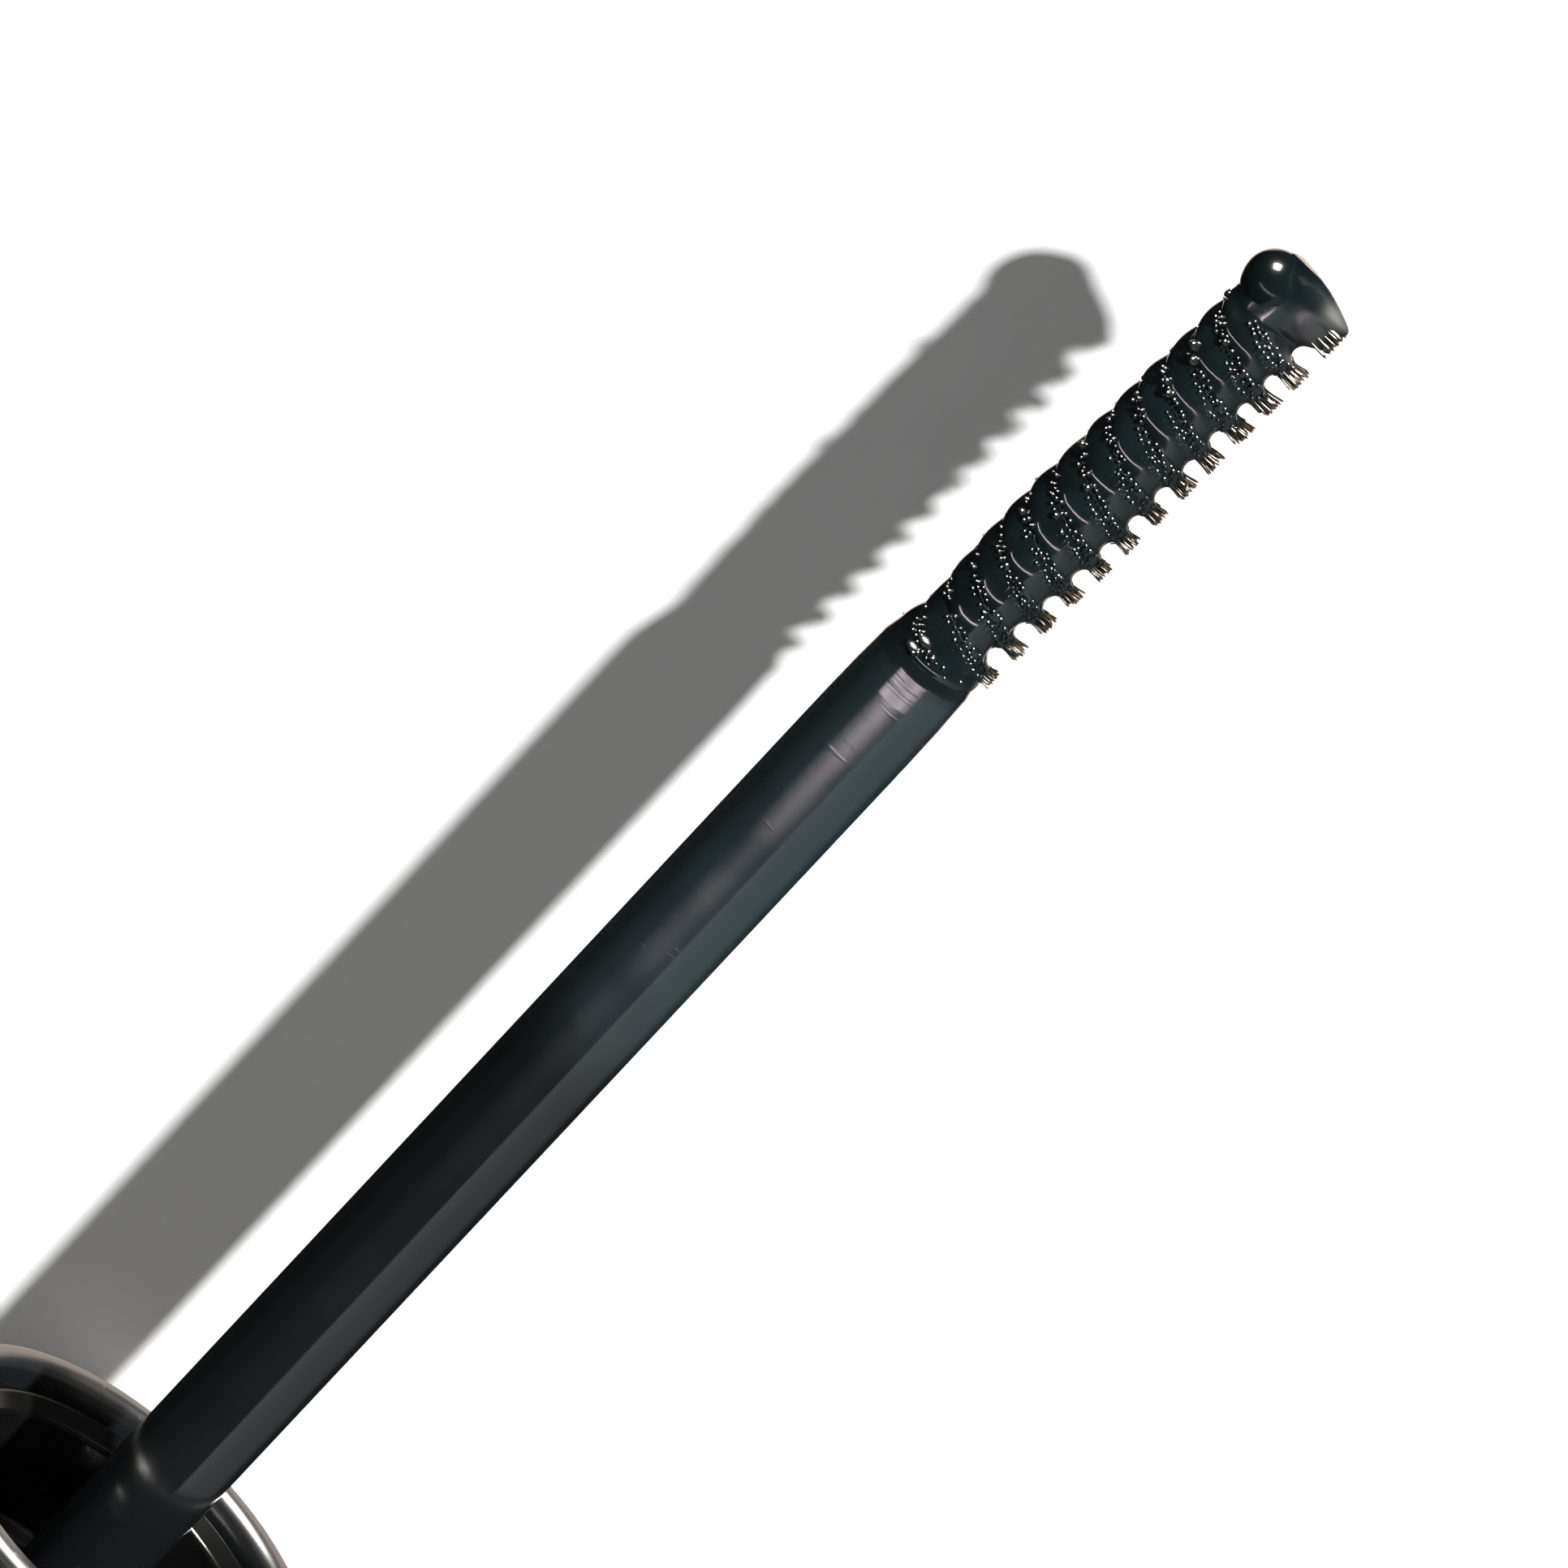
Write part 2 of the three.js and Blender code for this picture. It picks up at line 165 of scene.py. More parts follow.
# %% Spinning a profile round the axis
def spin(profile, origin_x, columns, rise=None):
    """x, radius -> a point at every angle. rise(x, radius, angle) is added to the radius,
    in millimetres."""
    angle = full_turn(columns)
    x = np.repeat(profile[:, :1], columns, 1)
    r = np.repeat(profile[:, 1:2], columns, 1)
    if rise:
        r = r + rise(x, r, angle[None, :])
    grid = np.stack([x * MM + origin_x, r * MM * np.cos(angle), r * MM * np.sin(angle)], -1)
    grid[..., 2] += AXIS_Z
    return grid


# %% [markdown]
# ## Shader maths as plain expressions
#
# A node tree with thirty Math nodes is hard to read. This wrapper lets a socket be added
# to and multiplied like a number, so that a finish reads as a formula.


# %% The socket wrapper
class Val:
    """A number that varies over a surface, as the output socket of a node."""

    def __init__(self, tree, socket):
        self.tree, self.socket = tree, socket

    def _math(self, operation, first, second):
        node = self.tree.nodes.new("ShaderNodeMath")
        node.operation = operation
        for slot, value in zip(node.inputs, (first, second)):
            if isinstance(value, Val):
                self.tree.links.new(value.socket, slot)
            else:
                slot.default_value = value
        return Val(self.tree, node.outputs[0])

    def __add__(self, other):
        return self._math("ADD", self, other)

    def __sub__(self, other):
        return self._math("SUBTRACT", self, other)

    def __mul__(self, other):
        return self._math("MULTIPLY", self, other)

    __radd__, __rmul__ = __add__, __mul__


class Finish:
    """A material under construction: its tree, its shader, and short ways to add nodes."""

    def __init__(self, name, **constants):
        self.material = bpy.data.materials.new(name)
        self.material.use_nodes = True
        self.tree = self.material.node_tree
        self.shader = self.tree.nodes["Principled BSDF"]
        for socket, value in constants.items():
            self.shader.inputs[socket.replace("_", " ")].default_value = value

    def node(self, kind, settings=(), **values):
        """Any node: its settings first, then the values or links of its sockets."""
        node = self.tree.nodes.new("ShaderNode" + kind)
        for key, value in dict(settings).items():
            setattr(node, key, value)
        for key, value in values.items():
            socket = node.inputs[key.replace("_", " ")]
            if isinstance(value, Val):
                self.tree.links.new(value.socket, socket)
            elif hasattr(value, "links"):
                self.tree.links.new(value, socket)
            else:
                socket.default_value = value
        return node

    def place(self):
        """The object's own coordinates."""
        return self.node("TexCoord").outputs["Object"]

    def coordinate(self, axis):
        """One of the object's coordinates, in metres: 0 along X, 1 along Y."""
        return Val(self.tree, self.node("SeparateXYZ", Vector=self.place()).outputs[axis])

    def noise(self, scale, detail=3.0, stretch=(1, 1, 1)):
        """Noise on the object's own coordinates, squeezed along each axis by stretch."""
        mapping = self.node("Mapping", Vector=self.place(), Scale=stretch)
        noise = self.node("TexNoise", Vector=mapping.outputs[0], Scale=scale, Detail=detail)
        return Val(self.tree, noise.outputs[0])

    def ramp(self, value, low, high):
        """0 below low, 1 above high, and a smooth step between."""
        node = self.node("MapRange", {"interpolation_type": "SMOOTHSTEP"}, Value=value,
                         From_Min=low, From_Max=high)
        return Val(self.tree, node.outputs[0])

    def blend(self, share, first, second):
        """A colour between two colours."""
        node = self.node("Mix", {"data_type": "RGBA"})
        self.tree.links.new(share.socket, node.inputs["Factor"])
        for socket, value in ((node.inputs[6], first), (node.inputs[7], second)):
            if isinstance(value, tuple):
                socket.default_value = (*value, 1)
            else:
                self.tree.links.new(value, socket)
        return node.outputs[2]

    def feed(self, socket, value):
        source = value.socket if isinstance(value, Val) else value
        self.tree.links.new(source, self.shader.inputs[socket])

    def bump(self, height, strength, distance):
        node = self.node("Bump", Height=height, Strength=strength, Distance=distance)
        self.feed("Normal", node.outputs[0])


# %% [markdown]
# ## Finishes
#
# The cap and the sleeve are injection-moulded ABS: nearly black, with a mirror gloss that
# handling has dulled a little. The stem is the same black with a satin skin and fine marks
# that run round it, left by the wiper. The product is a wet film, so its gloss is higher
# than any plastic's, and it has a cold green cast.


# %% Moulded gloss and satin
def gloss_finish(name, colour, rubbed=False):
    """Mirror gloss with smudges and dust. A rubbed cap is duller at its mouth."""
    f = Finish(name, IOR=1.5)
    smudge = f.noise(180, detail=4)
    dust = f.ramp(f.noise(5200, detail=2), 0.70, 0.76)
    worn = f.ramp(smudge, 0.35, 0.7)
    f.feed("Base Color", f.blend(dust * 0.25, colour, (0.09, 0.09, 0.09)))
    rough = worn * 0.10 + 0.07 + dust * 0.25
    if rubbed:
        rough = rough + f.ramp(f.coordinate(0), MOUTH_X - 0.0014, MOUTH_X - 0.0005) * 0.22
    f.feed("Roughness", rough)
    f.bump(f.noise(900, detail=2), 0.04, 0.00002)
    return f.material


def satin_finish(name, colour, roughness, specular=0.5):
    """Fine-grained plastic. A lower specular level dims the reflections of a deep recess: painted
    shade.
    """
    f = Finish(name, IOR=1.48, Specular_IOR_Level=specular)
    cloud = f.noise(260, detail=5)
    f.feed("Base Color", f.blend(f.ramp(cloud, 0.35, 0.7), colour, tuple(1.5 * c for c in colour)))
    f.feed("Roughness", cloud * 0.12 + (roughness - 0.06))
    f.bump(f.noise(6000, detail=2), 0.10, 0.00001)
    return f.material


def stem_finish():
    """Satin black. Beyond the wiper's reach it is clean; nearer the brush it keeps a thin
    cold film of product. Rings of fine wear are noise that changes quickly along the stem
    and slowly round it; only their highest crests are kept."""
    f = Finish("stem_satin_black", IOR=1.47)
    rings = f.ramp(f.noise(1, detail=2, stretch=(11000, 260, 260)), 0.62, 0.75)
    broad = f.ramp(f.noise(1, detail=1, stretch=(3000, 330, 330)), 0.62, 0.8)
    drags = f.ramp(f.noise(1, detail=2, stretch=(160, 7000, 7000)), 0.60, 0.8)
    cloud = f.noise(300, detail=5)
    x = f.coordinate(0)
    smeared = f.ramp(x + cloud * 0.006, MOUTH_X + 0.028, MOUTH_X + 0.037)
    worn = f.ramp(x + cloud * 0.012, MOUTH_X + 0.024, MOUTH_X + 0.056) * f.ramp(
        f.noise(240, detail=3), 0.38, 0.55)
    clean = f.blend(cloud, (0.0045, 0.0058, 0.0065), (0.0068, 0.0082, 0.0088))
    film = f.blend(cloud, (0.0105, 0.0175, 0.0205), (0.0160, 0.0260, 0.0295))
    soaked = f.ramp(x + cloud * 0.0008, MOUTH_X + 0.0492, MOUTH_X + 0.0500)
    film = f.blend(soaked, film, (0.0042, 0.0078, 0.0088))
    f.feed("Base Color", f.blend(smeared, clean, film))
    f.feed("Roughness", cloud * 0.05 + worn * 0.04 + 0.085)
    f.bump((rings * 0.7 + broad * 0.5) * worn + drags * worn * 0.25
           + f.noise(7000, detail=2) * 0.06, 0.5, 0.00001)
    return f.material


# %% Wet product, bristle tips, and the small parts
def wet_finish():
    """A gel-like film. It has begun to dry on the combing side, where it hangs in the air,
    so it is duller there."""
    f = Finish("mascara_wet", IOR=1.47)
    cloud = f.noise(700, detail=4)
    towards_teeth = f.coordinate(1) * -1
    hanging = f.ramp(towards_teeth, 0.0002, 0.0020)
    colour = (0.0034, 0.0064, 0.0072)
    f.feed("Base Color", f.blend(f.ramp(cloud, 0.3, 0.7), colour, tuple(1.7 * c for c in colour)))
    foot = f.ramp(towards_teeth, 0.0014, 0.0024)
    f.feed("Roughness", cloud * 0.06 + hanging * 0.18 + foot * 0.30 + 0.07)
    f.bump(f.noise(1300, detail=2) * 0.5 + f.noise(5000, detail=2) * 0.10, 0.10, 0.00004)
    return f.material


def ball_finish():
    """The moulded ball under a thinner film: dark, and less of a mirror than the drops."""
    f = Finish("mascara_thin", IOR=1.47, Specular_IOR_Level=0.16)
    cloud = f.noise(900, detail=3)
    f.feed("Base Color", f.blend(cloud, (0.0030, 0.0058, 0.0066), (0.0062, 0.0108, 0.0120)))
    f.feed("Roughness", cloud * 0.05 + 0.12)
    f.bump(f.noise(2500, detail=2), 0.06, 0.00003)
    return f.material


def bead_finish():
    """Drops and ribs of fresh product: almost a mirror, and nearly black."""
    f = Finish("mascara_beads", IOR=1.5)
    cloud = f.noise(1500, detail=2)
    f.feed("Base Color", f.blend(cloud, (0.0035, 0.006, 0.0065), (0.010, 0.015, 0.015)))
    f.feed("Roughness", cloud * 0.10 + 0.13)
    f.bump(f.noise(3000, detail=2), 0.05, 0.00002)
    return f.material


def bristle_finish():
    """Filaments that are coated where they leave the film and bare bronze at their ends.
    The film's reach is the distance from the axis, so the colour turns with it."""
    f = Finish("bristle_bronze", IOR=1.5)
    away = f.node("VectorMath", {"operation": "MULTIPLY_ADD"})
    f.tree.links.new(f.place(), away.inputs[0])
    away.inputs[1].default_value = (0, 1, 1)
    away.inputs[2].default_value = (0, 0, -AXIS_Z)
    reach = Val(f.tree, f.node("VectorMath", {"operation": "LENGTH"},
                               Vector=away.outputs[0]).outputs["Value"])
    streak = f.noise(1, detail=2, stretch=(9000, 1500, 9000))
    along_brush = f.coordinate(0)
    bare = f.ramp(reach + streak * 0.0004 - along_brush * 0.025, 0.00245, 0.00285)
    bronze = f.blend(f.ramp(streak, 0.42, 0.62), (0.012, 0.008, 0.005), (0.095, 0.064, 0.034))
    f.feed("Base Color", f.blend(bare, (0.008, 0.008, 0.007), bronze))
    f.feed("Roughness", streak * 0.25 + 0.20)
    return f.material


def foam_finish(name, colour, cell=2600):
    """Open cells, or the fibres of paper: pale on top, with painted shade darkening the hollows."""
    f = Finish(name, IOR=1.4)
    cells = f.noise(cell, detail=3)
    # painted shade: the colour darkens where the bump's cells are low
    f.feed("Base Color", f.blend(f.ramp(cells, 0.3, 0.6), tuple(0.7 * c for c in colour), colour))
    f.feed("Roughness", cells * 0.2 + 0.6)
    f.bump(cells, 0.3, 0.00004)
    return f.material


def steel_finish():
    """Bare steel with the rings that the lathe leaves."""
    f = Finish("turned_steel", Metallic=1.0)
    lathe = f.noise(1, detail=2, stretch=(9000, 60, 60))
    f.feed("Base Color", f.blend(lathe, (0.42, 0.43, 0.44), (0.60, 0.61, 0.62)))
    f.feed("Roughness", lathe * 0.2 + 0.25)
    return f.material


FINISHES = {
    "cap": gloss_finish("cap_gloss_black", (0.0075, 0.0085, 0.0095), rubbed=True),
    "tube": gloss_finish("tube_gloss_black", (0.0075, 0.0085, 0.0095)),
    "disc": gloss_finish("disc_gloss_black", (0.010, 0.011, 0.012)),
    # painted shade: the inner cap's low specular darkens the reflections inside the cap's mouth
    "inner": satin_finish("inner_cap_black", (0.0035, 0.0036, 0.0036), 0.16, specular=0.14),
    "bottle": satin_finish("bottle_black", (0.010, 0.011, 0.012), 0.30),
    "plug": satin_finish("plug_black", (0.012, 0.013, 0.014), 0.42),
    "stem": stem_finish(),
    "wet": wet_finish(),
    "bead": bead_finish(),
    "ball": ball_finish(),
    "bristle": bristle_finish(),
    "washer": foam_finish("washer_foam", (0.72, 0.72, 0.69)),
    "wiper": satin_finish("wiper_grey", (0.16, 0.17, 0.18), 0.5),
    "label": foam_finish("label_paper", (0.68, 0.67, 0.63), 4200),
    "steel": steel_finish(),
}
print(len(FINISHES), "finishes")


# %% [markdown]
# ## Dressing a part
#
# A new piece rides on a body, stands for its plain solid, and takes one of the finishes
# above.


# %% One call for all of that
def dress(piece, finish, body, stands_for=None):
    piece.data.materials.clear()
    piece.data.materials.append(FINISHES[finish])
    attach(piece, body)
    if stands_for:
        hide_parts(stands_for)
    return piece


def turned(node, corners, origin_x, closed, finish, body, columns):
    """A part of revolution that stands for the node of the same name."""
    grid = spin(rounded(corners, closed), origin_x, columns)
    return dress(skin(node + "_fine", grid, close_rows=closed), finish, body, node)


def paint_plain(node, finish):
    """A part that keeps its plain solid, since it is never seen whole."""
    materials = frame["nodes"][node].data.materials
    materials.clear()
    materials.append(FINISHES[finish])


# %% [markdown]
# ## The cap
#
# The mouth is what shows most: a thick rounded lip, then the slightly recessed edge of the
# inner cap, which slopes down to the threaded bore. The lip's fillets are large, because
# they carry the two bright lines that draw the mouth.

# %% Sizes shared by cap and neck
FIT = 0.3
SHELL_WALL = 1.2
THREAD_DEPTH, THREAD_PITCH, THREAD_TURNS = 0.7, 2.4, 1.25
SHELL_BORE = OUTER_R - SHELL_WALL
FLANGE_R = SHELL_BORE - FIT
INNER_CAP_R = FLANGE_R - 0.3
CAP_BORE = INNER_CAP_R - 0.8
NECK_R = CAP_BORE - THREAD_DEPTH - FIT
NECK_BORE = NECK_R - 0.9
NECK_HEIGHT = 12.6
THREAD_START = -NECK_HEIGHT + 2.2


def thread_rise(wall, depth, start):
    """A right-hand thread on the wall at one radius: a trapezoid centred on x = start +
    pitch * turns, faded in and out, where turns count the angle from +Y through +Z."""

    def rise(x, r, angle):
        total = np.zeros(np.broadcast(x, angle).shape)
        for lap in range(2):
            turns = angle / (2 * math.pi) + lap
            fade = np.clip(np.minimum(turns, THREAD_TURNS - turns) * 8, 0, 1)
            off = np.abs(x - start - THREAD_PITCH * turns)
            total = np.maximum(total, np.clip((0.64 - off) / 0.32, 0, 1) * fade)
        return np.where(np.abs(r - wall) < 1e-6, depth * total, 0)

    return rise


def wall_run(x_from, x_to, radius, step=0.08):
    """Points along a straight wall, close enough together to carry a thread."""
    return [(x, radius, 0) for x in np.linspace(x_from, x_to, int(abs(x_to - x_from) / step))]


# %% Cap shell, end disc and inner cap
disc_r = (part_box("cap_top_disc")[1].z - AXIS_Z) / MM
cap_end = -CAP_LENGTH
seat = cap_end + 1.1
turned("cap_shell", [
    (seat, 0, 0), (seat, disc_r + FIT, 0.05), (cap_end, disc_r + FIT, 0.12),
    (cap_end, OUTER_R, 0.7), (0, OUTER_R, 0.50), (0, SHELL_BORE, 0.55),
    (seat + 1.4, SHELL_BORE, 0.3), (seat + 1.4, 0, 0),
], MOUTH_X, False, "cap", "wand", columns=256)
turned("cap_top_disc", [
    (cap_end + 0.8, 0, 0), (cap_end + 0.8, disc_r, 0.05), (cap_end, disc_r, 0.15),
    (cap_end, 0, 0),
], MOUTH_X, False, "disc", "wand", columns=192)

inner_low, inner_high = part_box("inner_cap")
inner_front = (inner_high.x - MOUTH_X) / MM
inner_back = (inner_low.x - MOUTH_X) / MM
washer_back = (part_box("sealing_washer")[0].x - MOUTH_X) / MM
stem_hole = 2.425
floor_x = washer_back - FIT
end_x = floor_x - 1.5


def inner_cap():
    """The bore's wall carries the thread, so its points are dense."""
    front = rounded([
        (inner_front - 1.6, INNER_CAP_R, 0.1), (inner_front - 1.6, FLANGE_R, 0.1),
        (inner_front, FLANGE_R, 0.22), (inner_front - 0.6, CAP_BORE, 0.28),
        (floor_x, CAP_BORE, 0.05), (floor_x, stem_hole, 0.1), (inner_back, stem_hole, 0.1),
        (inner_back, stem_hole + 1.6, 0.2), (end_x, stem_hole + 1.6, 0.2),
        (end_x, INNER_CAP_R, 0.3),
    ], True)
    bore = [i for i, (x, r) in enumerate(front) if abs(r - CAP_BORE) < 1e-6]
    first, last = bore[0], bore[-1]
    run = np.array(wall_run(front[first][0], front[last][0], CAP_BORE))[:, :2]
    profile = np.concatenate([front[:first], run, front[last + 1:]])
    rise = thread_rise(CAP_BORE, -THREAD_DEPTH, THREAD_START + FIT + THREAD_PITCH / 2)
    piece = skin("inner_cap_fine", spin(profile, MOUTH_X, 192, rise), close_rows=True)
    return dress(piece, "inner", "wand", "inner_cap")


inner_cap()
turned("sealing_washer", [
    (washer_back, stem_hole, 0.1), (washer_back, CAP_BORE - FIT, 0.2),
    (washer_back + 0.9, CAP_BORE - FIT, 0.2), (washer_back + 0.9, stem_hole, 0.1),
], MOUTH_X, True, "washer", "washer", columns=128)
paint_plain("cap_weight", "steel")

# %% [markdown]
# ## The stem
#
# A long satin rod with a short taper where the brush is pressed in. The taper turns towards
# the light at the far end, so its edge shows as a bright patch.

# %% Stem
STEM_R = 2.125
TAPER = 0.8
HEAD_R, HEAD_LENGTH = 3.4, 1.2
SOCKET_R, SOCKET_DEPTH = 1.1, 7.3
stem_back = (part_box("stem")[0].x - MOUTH_X) / MM
head_back = stem_back + 1.0
turned("stem", [
    (stem_back, 0, 0), (stem_back, STEM_R, 0.2), (head_back, STEM_R, 0.05),
    (head_back, HEAD_R, 0.15), (head_back + HEAD_LENGTH, HEAD_R, 0.15),
    (head_back + HEAD_LENGTH, STEM_R, 0.05),
    (STEM_END - 2.2, STEM_R, 2.2), (STEM_END - TAPER, STEM_R - 0.035, 0.8),
    (STEM_END, STEM_R - 0.2, 0.12), (STEM_END, SOCKET_R, 0.1),
    (STEM_END - SOCKET_DEPTH, SOCKET_R, 0.1), (STEM_END - SOCKET_DEPTH, 0, 0),
], MOUTH_X, False, "stem", "wand", columns=144)

# %% [markdown]
# ## The coated brush
#
# The brush is one moulding: three rows of short tines wind round a core, and each row ends
# in a long tooth on the combing side. The product hides the core. It stands as smooth
# pillows between the rows on the back, hangs as arches between the teeth, and only the tips
# of the tines come through it as glossy beads. So the coat is a single surface whose radius
# is a formula of the place along the brush and the angle round it, and the beads are spread
# over that same formula.

# %% Rows and reaches
PITCH, ROWS, STATIONS = 1.585, 3, 12
FIRST = STEM_END + 0.48
LAST = FIRST + (STATIONS - 1) * PITCH
BRUSH_TIP = (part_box("brush_comb")[1].x - MOUTH_X) / MM
FIN_X = BRUSH_TIP - 1.27
rng = np.random.default_rng(7)


def along(points, x):
    """A smooth curve through (place, value) pairs, places counted from the stem's end."""
    places, values = np.array(points).T
    x = np.asarray(x, float) - STEM_END
    spread = np.linspace(-0.45, 0.45, 7)
    return sum(np.interp(x + s, places, values) for s in spread) / len(spread)


def row_phase(x, turn):
    """0 on a row of tines, 0.5 half way to the next; turn is 0 on the combing side, grows
    through the top, and the rows climb the brush as it grows."""
    phase = (x - FIRST) / PITCH - ROWS * turn
    return phase - np.round(phase)


def tooth_reach(x):
    """The teeth grow longer towards the tip."""
    share = np.clip((x - FIRST) / (LAST - FIRST), 0, 1)
    return 2.4 + 0.8 * share ** 0.8


# %% The coat's radius
BACK = [(-0.5, 2.02), (0, 1.95), (0.6, 1.78), (1.3, 1.58), (1.9, 1.62), (2.6, 1.66), (3.6, 1.72),
        (7, 1.70), (9, 1.63), (11, 1.53), (13, 1.47), (15, 1.39), (17, 1.25), (19, 1.20)]
COMB = [(-0.5, 2.10), (0, 2.05), (0.6, 1.75), (1.3, 1.36), (2.8, 1.55), (4.4, 1.70), (6, 1.82),
        (9, 1.93), (12.3, 2.02), (16, 2.03), (19, 2.08)]
SIDE = [(-0.5, 2.06), (0, 2.0), (0.6, 1.80), (1.3, 1.56), (2.2, 1.62), (10, 1.60), (19, 1.42)]
ARCH_HALF = 0.47
WAVES = [(rng.uniform(0.6, 2.6), rng.integers(1, 4), rng.uniform(0, 6.3)) for _ in range(6)]


def coat_radius(x, turn):
    """Base outline + pillows between rows + arches and ridges on the combing side + a slow
    unevenness made of a few sine waves. crest is where a pillow is highest, as a share of
    the bay's width: the middle near the teeth, and nearer the row on the stem's side beyond
    a quarter turn."""
    angle = 2 * math.pi * turn
    facing = np.cos(angle)
    base = (along(SIDE, x)
            + (along(COMB, x) - along(SIDE, x)) * np.clip(facing, 0, 1) ** 2
            + (along(BACK, x) - along(SIDE, x)) * np.clip(-facing, 0, 1) ** 2)
    phase = row_phase(x, turn)
    started = np.clip((x - FIRST + 0.5) / 1.0, 0, 1)
    share = np.clip((x - FIRST) / 18, 0, 1)
    near_comb = np.exp(-(angle / 0.42) ** 2)
    crest = np.interp(np.abs(turn), [0.17, 0.28], [0.5, 0.24])
    across_bay = (phase % 1) ** (math.log(0.5) / np.log(crest))
    pillow = started * (0.15 + 0.17 * share ** 1.5) * (np.sin(math.pi * across_bay) - 0.64)
    from_bay = np.clip(PITCH * (0.5 - np.abs(phase)) / ARCH_HALF, 0, 1)
    arch = 1 - np.sqrt(1 - from_bay ** 2)
    toothed = started * np.clip((LAST + 0.75 - x) / 0.1, 0, 1)
    clump = 0.30 * (tooth_reach(x) - along(COMB, x))
    tooth = clump * arch * np.exp(-(angle / 0.24) ** 4)
    ridge = 0.12 * arch * np.exp(-((np.abs(angle) - 0.5) / 0.55) ** 2)
    wave = sum(0.006 * np.sin(f * x + n * angle + p) for f, n, p in WAVES)
    return base + pillow * (1 - near_comb) + (tooth + ridge) * toothed + wave


def on_brush(x, turn, radius):
    """Millimetres along, turns round, millimetres out -> metres in the row's frame."""
    angle = 2 * math.pi * turn
    return np.stack([x * MM + MOUTH_X, -radius * MM * np.cos(angle),
                     AXIS_Z + radius * MM * np.sin(angle)], -1)


# %% The coat and the lobe at its end
FOOT = [(18.0, 1.9), (18.8, 2.0), (19.1, 2.15), (19.35, 2.6), (19.45, 2.85), (19.7, 2.88),
        (20.3, 2.92), (20.5, 3.12), (20.75, 3.1), (20.9, 2.8), (21.05, 2.45), (21.2, 2.05),
        (21.4, 1.55), (21.5, 1.0)]
LOBE = [(18, 1.35), (19, 1.22), (20, 1.16), (20.7, 1.08), (21.1, 0.92), (21.35, 0.7), (21.5, 0.4)]


def lobe_radius(x, turn):
    """A round body and a blade that hangs from it: a circle and a slim half ellipse, joined
    by a power mean, so that the corner between them is filled as a liquid fills it."""
    angle = 2 * math.pi * turn
    foot, body = (np.interp(x - STEM_END, *np.array(table).T) for table in (FOOT, LOBE))
    thick = 0.40 + 0.36 * np.sqrt(np.clip(1 - ((x - STEM_END - 20.2) / 1.25) ** 2, 0, 1))
    thick = np.minimum(thick, 0.75 * body)
    blade = foot * thick / np.hypot(thick * np.cos(angle), foot * np.sin(angle))
    blade = np.where(np.cos(angle) > 0, blade, thick)
    return (body ** 4 + blade ** 4) ** 0.25


def coated_core():
    """The coat, blended into the lobe behind the last row and then smoothed there."""
    x = np.linspace(STEM_END - 0.45, STEM_END + 21.5, 456)
    turn = np.linspace(-0.5, 0.5, 216, endpoint=False)
    x, turn = np.meshgrid(x, turn, indexing="ij")
    to_lobe = np.clip((x - LAST - 0.45) / 0.7, 0, 1)
    to_lobe = to_lobe ** 2 * (3 - 2 * to_lobe)
    radius = (1 - to_lobe) * coat_radius(x, turn) + to_lobe * lobe_radius(x, turn)
    for _ in range(4):
        near_end = np.clip((x - LAST) / 0.5, 0, 1)[1:-1]
        smooth = (radius[:-2] + 2 * radius[1:-1] + radius[2:]) / 4
        radius[1:-1] = near_end * smooth + (1 - near_end) * radius[1:-1]
    pole = np.zeros((1, radius.shape[1]))
    x = np.concatenate([x[:1], x, x[-1:]])
    turn = np.concatenate([turn[:1], turn, turn[-1:]])
    radius = np.concatenate([pole, radius, pole])
    radius -= 0.14 * np.clip((STEM_END - x) / 0.45, 0, 1) ** 2 * (radius > 0)
    return dress(skin("coated_brush", on_brush(x, turn, radius)), "wet", "wand",
                 "brush_comb")


coated_core()

# %% [markdown]
# ## Beads
#
# Every tine ends in a drop of product. A drop is a small sphere drawn out along the radius;
# one grid of sines and cosines makes them all at once.


# %% Beads on the rows
def beads(name, x, turn, size, lift, stretch=1.3):
    """Drops at places on the coat. Each is an ellipsoid: its middle is lift above the coat
    and it is stretched along the radius."""
    rows, columns = 7, 9
    polar = np.linspace(0, math.pi, rows)[:, None]
    round_ = full_turn(columns)[None, :]
    unit = np.stack([np.sin(polar) * np.cos(round_), np.sin(polar) * np.sin(round_),
                     np.cos(polar) * np.ones_like(round_)], -1)
    angle = 2 * math.pi * turn
    out = np.stack([0 * x, -np.cos(angle), np.sin(angle)], -1)
    side = np.stack([0 * x, np.sin(angle), np.cos(angle)], -1)
    axial = np.stack([1 + 0 * x, 0 * x, 0 * x], -1)
    middle = on_brush(x, turn, coat_radius(x, turn) + lift)
    size = (size * MM)[:, None, None, None]
    grid = middle[:, None, None, :] + size * (
        unit[None, ..., 0:1] * axial[:, None, None, :]
        + unit[None, ..., 1:2] * side[:, None, None, :]
        + unit[None, ..., 2:3] * out[:, None, None, :] * stretch)
    return skin(name, grid)


def row_places():
    """Three ragged files of tines on every row, all the way round."""
    x, turn = [], []
    for row in range(-ROWS, STATIONS + ROWS):
        for file, offset in enumerate((-0.15, 0.0, 0.15)):
            steps = np.arange(-0.5, 0.5, 0.0215) + 0.007 * file
            turn.append(steps + rng.normal(0, 0.003, steps.size))
            x.append(FIRST + (row + offset + rng.normal(0, 0.03, steps.size) + ROWS * steps) * PITCH)
    x, turn = np.concatenate(x), np.concatenate(turn)
    kept = np.interp(np.abs(turn), [0.0, 0.16, 0.28, 0.40, 0.5], [0.95, 0.9, 0.7, 0.5, 0.3])
    inside = (x > FIRST - 0.55) & (x < LAST + 1.1) & (rng.random(x.size) < kept)
    return x[inside], turn[inside]


